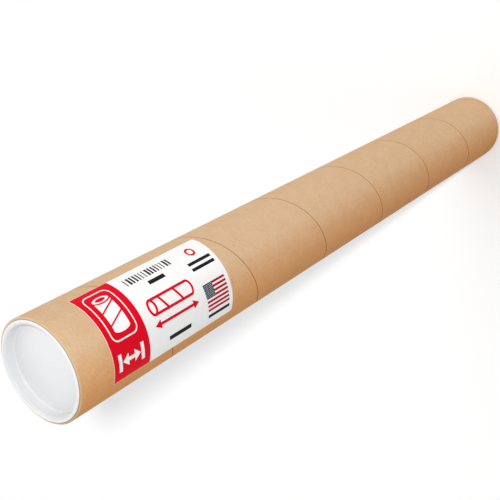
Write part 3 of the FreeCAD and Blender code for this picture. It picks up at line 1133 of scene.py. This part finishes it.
@dataclass
class PaperLabel:
    """The sticker on the tube and its print, which is a generic one of simple figures."""

    tube_radius: float
    near_z: float
    label_angle: float
    below_top: float = 38.6 * MM
    length: float = 168.0 * MM
    width: float = 95.0 * MM
    glue: float = 0.05 * MM
    paper: float = 0.15 * MM
    corner_radius: float = 3.0 * MM
    ink_gap: float = 0.02 * MM
    ink: float = 0.04 * MM
    panel_length: float = 45.7 * MM
    panel_inset: float = 0.3 * MM
    frame_length: float = 32.0 * MM
    frame_width: float = 49.8 * MM
    frame_corner: float = 7.0 * MM
    frame_line: float = 1.3 * MM
    frame_from_end: float = 6.2 * MM
    frame_from_edge: float = 7.3 * MM
    big_tube_length: float = 38.0 * MM
    big_tube: float = 19.0 * MM
    gauge_length: float = 32.0 * MM
    gauge_width: float = 17.0 * MM
    gauge_bar: float = 4.0 * MM
    gauge_shaft: float = 3.6 * MM
    gauge_head: float = 7.5 * MM
    gauge_head_width: float = 12.0 * MM
    gauge_gap: float = 0.8 * MM
    gauge_from_edge: float = 9.5 * MM
    small_tube_length: float = 62.0 * MM
    small_tube: float = 17.0 * MM
    small_tube_line: float = 2.7 * MM
    arrow_length: float = 62.0 * MM
    arrow_width: float = 8.6 * MM
    arrow_head: float = 8.2 * MM
    arrow_shaft: float = 2.8 * MM
    arrow_gap: float = 4.2 * MM
    drawing_place: float = 5.5 * MM
    end_share: float = 0.17
    bore_share: float = 0.62
    seam_share: float = 0.085
    seam_lean: float = 25.0
    bars_length: float = 62.0 * MM
    bars_width: float = 9.3 * MM
    bars_pitch: float = 4.1 * MM
    bars_from_edge: float = 8.5 * MM
    thin_bar: float = 1.2 * MM
    bar_step: float = 0.45 * MM
    bar_rhythm: tuple[int, int, int] = (7, 3, 4)  # varies the bars' widths with nothing left to chance
    line_width: float = 4.4 * MM
    short_line_length: float = 21.5 * MM
    short_line_gap: float = 4.6 * MM
    foot_line_length: float = 31.0 * MM
    foot_line_from_edge: float = 11.0 * MM
    flag_length: float = 33.0 * MM
    flag_width: float = 27.3 * MM
    flag_field_length: float = 13.4 * MM
    flag_stripes: int = 13
    stripe_spread: float = 0.12 * MM  # how far the ink has spread past each side of a stripe
    flag_field_stripes: int = 7
    flag_from_end: float = 5.4 * MM
    flag_from_edge: float = 15.5 * MM
    flag_line_width: float = 3.4 * MM
    flag_line_pitch: float = 6.6 * MM
    over_flag_gap: float = 15.8 * MM
    under_flag_gap: float = 3.8 * MM
    dot_rows: int = 9
    dots_in_long_row: int = 6
    dot_radius: float = 0.42 * MM
    dot_corners: int = 10
    ring_radius: float = 5.75 * MM
    ring_line: float = 2.4 * MM
    ring_gap: float = 5.5 * MM

    @property
    def paper_outer(self) -> float:
        """Radius of the paper's outer face."""
        return self.tube_radius + self.glue + self.paper

    @property
    def half(self) -> float:
        """Half of the label's width."""
        return self.width / 2

    @property
    def field_middle(self) -> float:
        """Middle, along the label, of the white field between the red panel and the flag."""
        return (self.panel_length + self.length - self.flag_from_end - self.flag_length) / 2

    @property
    def flag_middle(self) -> float:
        """Middle of the flag along the label."""
        return self.length - self.flag_from_end - self.flag_length / 2

    @property
    def flag_low(self) -> float:
        """Where the flag starts across the label."""
        return self.half - self.flag_from_edge - self.flag_width

    @property
    def over_flag_low(self) -> float:
        """Where the pair of plain lines over the flag starts across the label."""
        return self.flag_low - self.over_flag_gap - self.flag_line_pitch - self.flag_line_width

    def sheet(self, name: str, inner: float, thickness: float) -> Sheet:
        """An empty sheet of this thickness, whose places are the label's."""
        top = self.near_z - self.below_top
        return Sheet(name, inner, inner + thickness, top, self.tube_radius, self.label_angle)

    def ink_sheet(self, name: str) -> Sheet:
        """An empty sheet for one printed colour, just clear of the paper."""
        return self.sheet(name, self.paper_outer + self.ink_gap, self.ink)

    def paper_sheet(self) -> Sheet:
        """Draws the paper.

        Returns:
            Its sheet, with square corners at the near end and rounded ones at the far end.
        """
        sheet = self.sheet("paper_label", self.tube_radius + self.glue, self.paper)
        corners = [(0, -self.half, 0), (self.length, -self.half, self.corner_radius),
                   (self.length, self.half, self.corner_radius), (0, self.half, 0)]
        sheet.steps.append((rounded(corners), Print.INKED))
        return sheet

    def seams(self, length: float, thickness: float, line: float) -> list[Outline]:
        """Two leaning lines across a drawn tube, at thirds of its length."""
        reach = (thickness - line) / math.cos(math.radians(self.seam_lean))
        return [turned(rectangle(line, reach), -self.seam_lean) + (side * length / 6, 0) for side in (-1, 1)]

    def red_panel(self) -> Sheet:
        """Draws the red panel.

        Returns:
            Its sheet: a red field with a framed standing tube and a wall thickness sign left bare in it.
        """
        sheet = self.ink_sheet("print_red_panel")
        edge = self.half - self.panel_inset
        sheet.field(self.panel_inset, self.panel_length, -edge, edge)
        middle = self.frame_from_end + self.frame_length / 2
        place = -self.half + self.frame_from_edge + self.frame_width / 2
        line = self.frame_line
        outer = rectangle(self.frame_length, self.frame_width, self.frame_corner)
        inner = rectangle(self.frame_length - 2 * line, self.frame_width - 2 * line, self.frame_corner - line)
        sheet.draw(outer, Print.BARE, middle, place)
        sheet.draw(inner, Print.INKED, middle, place)
        length, thickness = self.big_tube_length, self.big_tube
        bulge = thickness * self.end_share
        gap = thickness * self.seam_share
        left = bulge - length / 2
        hole = self.bore_share
        layers = [(capsule(length, thickness, bulge), Print.BARE)]
        layers += [(seam, Print.INKED) for seam in self.seams(length, thickness + 2 * gap, gap)]
        layers += [(ellipse(bulge + gap, thickness / 2 + gap, left), Print.INKED),
                   (ellipse(bulge, thickness / 2, left), Print.BARE),
                   (ellipse(bulge * hole, thickness / 2 * hole, left), Print.INKED)]
        for outline, kind in layers:
            sheet.draw(turned(outline, degrees=90), kind, middle, place)
        place = self.half - self.gauge_from_edge - self.gauge_width / 2
        bar = (self.gauge_length - self.gauge_bar) / 2
        reach = self.gauge_length - 2 * (self.gauge_bar + self.gauge_gap)
        arrow = double_arrow(reach, self.gauge_head_width, self.gauge_head, self.gauge_shaft)
        sheet.draw(arrow, Print.BARE, middle, place)
        for side in (-1, 1):
            sheet.draw(rectangle(self.gauge_bar, self.gauge_width), Print.BARE, middle + side * bar, place)
        return sheet

    def red_marks(self) -> Sheet:
        """Draws the red marks.

        Returns:
            Their sheet: a lying tube over its length arrow, and a ring over the flag.
        """
        sheet = self.ink_sheet("print_red_marks")
        length, thickness, line = self.small_tube_length, self.small_tube, self.small_tube_line
        bulge = thickness * self.end_share + line
        left = bulge - length / 2
        layers = [(capsule(length, thickness, bulge), Print.INKED),
                  (capsule(length - 2 * line, thickness - 2 * line, bulge - line), Print.BARE),
                  (ellipse(bulge, thickness / 2, left), Print.INKED),
                  (ellipse(bulge - line, thickness / 2 - line, left), Print.BARE)]
        layers += [(seam, Print.INKED) for seam in self.seams(length, thickness, line)]
        above = self.drawing_place - (self.arrow_gap + self.arrow_width) / 2
        below = self.drawing_place + (self.arrow_gap + thickness) / 2
        for outline, kind in layers:
            sheet.draw(outline, kind, self.field_middle, above)
        arrow = double_arrow(self.arrow_length, self.arrow_width, self.arrow_head, self.arrow_shaft)
        sheet.draw(arrow, Print.INKED, self.field_middle, below)
        ring = self.over_flag_low - self.ring_gap - self.ring_radius
        inner = self.ring_radius - self.ring_line
        sheet.draw(ellipse(self.ring_radius, self.ring_radius), Print.INKED, self.flag_middle, ring)
        sheet.draw(ellipse(inner, inner), Print.BARE, self.flag_middle, ring)
        return sheet

    def flag_red_stripes(self) -> Sheet:
        """Draws the flag's red stripes.

        Returns:
            Their sheet. They start beside the flag's dark field as far down as that reaches.
        """
        sheet = self.ink_sheet("print_flag_stripes")
        stripe = self.flag_width / self.flag_stripes
        for i in range(0, self.flag_stripes, 2):
            start = self.flag_middle - self.flag_length / 2
            if i < self.flag_field_stripes:
                start += self.flag_field_length
            low = self.flag_low + i * stripe - self.stripe_spread
            high = low + stripe + 2 * self.stripe_spread
            sheet.field(start, self.flag_middle + self.flag_length / 2, low, high)
        return sheet

    def black_marks(self) -> Sheet:
        """Draws the black marks.

        Returns:
            Their sheet: a row of upright bars and five plain lines.
        """
        sheet = self.ink_sheet("print_black_marks")
        low = -self.half + self.bars_from_edge
        first = self.field_middle - self.bars_length / 2
        leap, hold, widths = self.bar_rhythm
        for i in range(int(self.bars_length / self.bars_pitch)):
            start = first + self.bars_pitch * i
            width = self.thin_bar + self.bar_step * ((i * leap + i // hold) % widths)
            sheet.field(start, start + width, low, low + self.bars_width)
        short = low + self.bars_width + self.short_line_gap
        foot = self.half - self.foot_line_from_edge - self.line_width
        for low, length in ((short, self.short_line_length), (foot, self.foot_line_length)):
            start = self.field_middle - length / 2
            sheet.field(start, self.field_middle + length / 2, low, low + self.line_width)
        reach = self.flag_length / 2
        under = self.flag_low + self.flag_width + self.under_flag_gap
        for low in (self.over_flag_low, self.over_flag_low + self.flag_line_pitch, under):
            sheet.field(self.flag_middle - reach, self.flag_middle + reach, low, low + self.flag_line_width)
        return sheet

    def flag_field(self) -> Sheet:
        """Draws the flag's dark field.

        Returns:
            Its sheet, with rows of small dots left bare in it, long and short in turn.
        """
        sheet = self.ink_sheet("print_flag_field")
        start = self.flag_middle - self.flag_length / 2
        height = self.flag_width * self.flag_field_stripes / self.flag_stripes
        sheet.field(start, start + self.flag_field_length, self.flag_low, self.flag_low + height)
        half_step = self.flag_field_length / (2 * self.dots_in_long_row)
        for row in range(self.dot_rows):
            across = self.flag_low + height * (row + 1) / (self.dot_rows + 1)
            for i in range(self.dots_in_long_row - row % 2):
                along = start + half_step * (2 * i + 1 + row % 2)
                dot = ellipse(self.dot_radius, self.dot_radius, steps=self.dot_corners)
                sheet.draw(dot, Print.BARE, along, across)
        return sheet

    def build(self) -> list[Piece]:
        """Makes the paper and the print.

        Returns:
            The paper and the five printed sheets, each in place of its CAD node.
        """
        # painted shade: the paper and the inks are painted greyer on one side
        side = PaintedShadeSide(self.tube_radius, starts_at=0.1, full_at=0.62)
        red, dark_red, black, dark_blue = (
            PrintedInk(name=name, full=full, thin=thin, painted_shade=side)
            for name, full, thin in (("red_offset_ink", "#DC001D", "#E20A22"),
                                     ("dark_red_offset_ink", "#AE1228", "#B81C32"),
                                     ("black_offset_ink", "#151517", "#222225"),
                                     ("dark_blue_offset_ink", "#2F353F", "#3C434E")))
        plan = [
            (self.paper_sheet(), CoatedPaper(painted_shade=side), "label", "label_paper"),
            (self.red_panel(), red, "label_red_panel", "red_ink"),
            (self.red_marks(), red, "label_red_marks", "red_ink"),
            (self.flag_red_stripes(), dark_red, "label_red_marks", "red_ink"),
            (self.black_marks(), black, "label_black_marks", "black_ink"),
            (self.flag_field(), dark_blue, "label_flag_field", "dark_blue_ink"),
        ]
        pieces = []
        for sheet, finish, node, slot in plan:
            piece = sheet.build()
            dress(piece, [finish])
            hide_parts(node)
            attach(piece, "tube")
            pieces.append(piece)
        return pieces


@dataclass(frozen=True)
class ProductCamera:
    """The camera, placed and turned as the photograph's. Angles are in degrees."""

    place: tuple[float, float, float] = (12.38 * MM, -650.54 * MM, 1315.19 * MM)
    azimuth: float = 0.908
    elevation: float = 47.38
    roll: float = 119.505
    lens: float = 61.667
    sensor: float = 36.0

    def build(self) -> None:
        """Makes the camera. It looks down by the elevation, and its top is turned by the roll."""
        level, forward = direction(self.azimuth), direction(self.azimuth + 90, -self.elevation)
        roll = math.radians(self.roll)
        up = level.cross(forward) * math.cos(roll) + level * math.sin(roll)
        turn = Matrix((forward.cross(up), up, -forward)).transposed().to_4x4()
        camera = bpy.data.objects.new("product_camera", bpy.data.cameras.new("product_camera"))
        camera.data.lens = self.lens
        camera.data.sensor_width = self.sensor
        camera.matrix_world = Matrix.Translation(self.place) @ turn
        bpy.context.scene.collection.objects.link(camera)
        bpy.context.scene.camera = camera


def hang(name: str, kind: Shine, place: Vector, back: Vector, **settings: float) -> None:
    """Adds a lamp to the scene.

    Args:
        name: The lamp's name.
        kind: Its kind.
        place: Where it hangs.
        back: The direction to it from what it shines at.
        settings: Its own properties.
    """
    lamp = bpy.data.lights.new(name, kind.value)
    for setting, value in settings.items():
        setattr(lamp, setting, value)
    holder = bpy.data.objects.new(name, lamp)
    holder.matrix_world = Matrix.Translation(place) @ back.to_track_quat("Z", "Y").to_matrix().to_4x4()
    bpy.context.scene.collection.objects.link(holder)


@dataclass(frozen=True)
class SoftLamp:
    """A large, far lamp: its place as seen from the tube in degrees, its strength and its softness."""

    name: str
    azimuth: float
    elevation: float
    strength: float
    softness: float

    def build(self) -> None:
        """Hangs the lamp so that it shines from its side, wherever it is."""
        hang(self.name, Shine.FAR, Vector(), direction(self.azimuth, self.elevation), energy=self.strength,
             angle=math.radians(self.softness))


@dataclass(frozen=True)
class PanelLamp:
    """A small square lamp close to the tube: its azimuth, its distance from the axis and its height over
    what it shines at."""

    name: str
    azimuth: float
    distance: float
    height: float
    size: float
    power: float

    def build(self, target: Vector) -> None:
        """Hangs the lamp so that it shines at the target."""
        back = direction(self.azimuth) * self.distance + Vector((0, 0, self.height))
        hang(self.name, Shine.PANEL, target + back, back, energy=self.power, size=self.size)


@dataclass(frozen=True)
class Studio:
    """The plain pale floor, the white surroundings and the lamps: a key lamp on the camera's side, one at
    the side, one behind and a small one near the near end."""

    floor_size: float = 14.0
    floor_drop: float = 0.1 * MM
    ambient: float = 0.53
    key: SoftLamp = SoftLamp("key_lamp", azimuth=-81.8, elevation=34.8, strength=1.43, softness=3.5)
    side: SoftLamp = SoftLamp("side_lamp", azimuth=0.0, elevation=30.0, strength=0.95, softness=60.0)
    back: SoftLamp = SoftLamp("back_lamp", azimuth=105.0, elevation=4.0, strength=0.95, softness=60.0)
    fill: PanelLamp = PanelLamp("fill_lamp", azimuth=-127.0, distance=0.45, height=0.2, size=0.2, power=0.5)
    floor_grey: float = 0.6
    shown_white: float = 1.02

    @staticmethod
    def seen(tree: Tree) -> Socket:
        """Tells what the camera sees from light that falls on the object.

        Args:
            tree: The material's or world's node tree.

        Returns:
            1 for what the camera sees, also in a reflection or through glass, and 0 for such light.
        """
        path = add(tree, "LightPath", {}).outputs
        share = path["Is Camera Ray"]
        for ray in ("Is Glossy Ray", "Is Transmission Ray"):
            share = add(tree, "Math", {0: share, 1: path[ray]}, operation="MAXIMUM").outputs[0]
        return share

    def floor(self) -> None:
        """The floor: it reads as white, keeps the object's shadow, and is clear when seen from below."""
        reach = self.floor_size / 2
        corners = np.array([(-reach, -reach), (reach, -reach), (reach, reach), (-reach, reach)])
        points = np.concatenate([corners, np.full((4, 1), -self.floor_drop)], axis=1)
        piece = mesh_object("studio_floor", points, [[0, 1, 2, 3]])
        material, tree = new_material("painted_studio_floor")
        grey, shown = self.floor_grey, self.shown_white
        lit = add(tree, "BsdfDiffuse", {"Color": (grey, grey, grey, 1)})
        white = add(tree, "BsdfDiffuse", {"Color": (shown, shown, shown, 1)})
        mixed = add(tree, "MixShader", {0: self.seen(tree), 1: lit.outputs[0], 2: white.outputs[0]})
        clear = add(tree, "BsdfTransparent", {})
        under = add(tree, "NewGeometry", {}).outputs["Backfacing"]
        surface = add(tree, "MixShader", {0: under, 1: mixed.outputs[0], 2: clear.outputs[0]})
        add(tree, "OutputMaterial", {"Surface": surface.outputs[0]})
        piece.data.materials.append(material)

    def surroundings(self) -> None:
        """Even light from all sides, which itself shows as plain white."""
        world = bpy.data.worlds.new("white_studio")
        bpy.context.scene.world = world
        world.use_nodes = True
        tree = world.node_tree
        tree.nodes.clear()
        strength = add(tree, "MapRange", {"Value": self.seen(tree), "To Min": self.ambient, "To Max": 1.0})
        light = add(tree, "Background", {"Color": (1, 1, 1, 1), "Strength": strength.outputs[0]})
        add(tree, "OutputWorld", {"Surface": light.outputs[0]})

    def build(self) -> None:
        """Makes the floor, the surroundings and the lamps, and sets the plain view."""
        self.floor()
        self.surroundings()
        for lamp in (self.key, self.side, self.back):
            lamp.build()
        near_end = Vector((0, 0, CAD_BOX[1][2]))
        self.fill.build(near_end)
        bpy.context.scene.view_settings.view_transform = "Standard"


def main() -> None:
    """Builds the tube, its caps and its label on the CAD frame, then the studio and the camera."""
    logging.basicConfig(level=logging.INFO, format="%(name)s: %(message)s")
    low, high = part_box("tube")
    tube = WoundTube(radius=high.x, far_z=low.z, near_z=high.z)
    pieces = [tube.build()]
    for end, end_z, name, node in ((End.NEAR, tube.near_z, "near_end_cap", "near_cap"),
                                   (End.FAR, tube.far_z, "far_end_cap", "far_cap")):
        pieces.append(PushInCap(end, end_z, tube.bore, name, node).build())
    pieces += PaperLabel(tube.radius, tube.near_z, tube.label_angle).build()
    for piece in pieces:
        report(piece)
    Studio().build()
    ProductCamera().build()


if __name__ == "__main__":
    main()
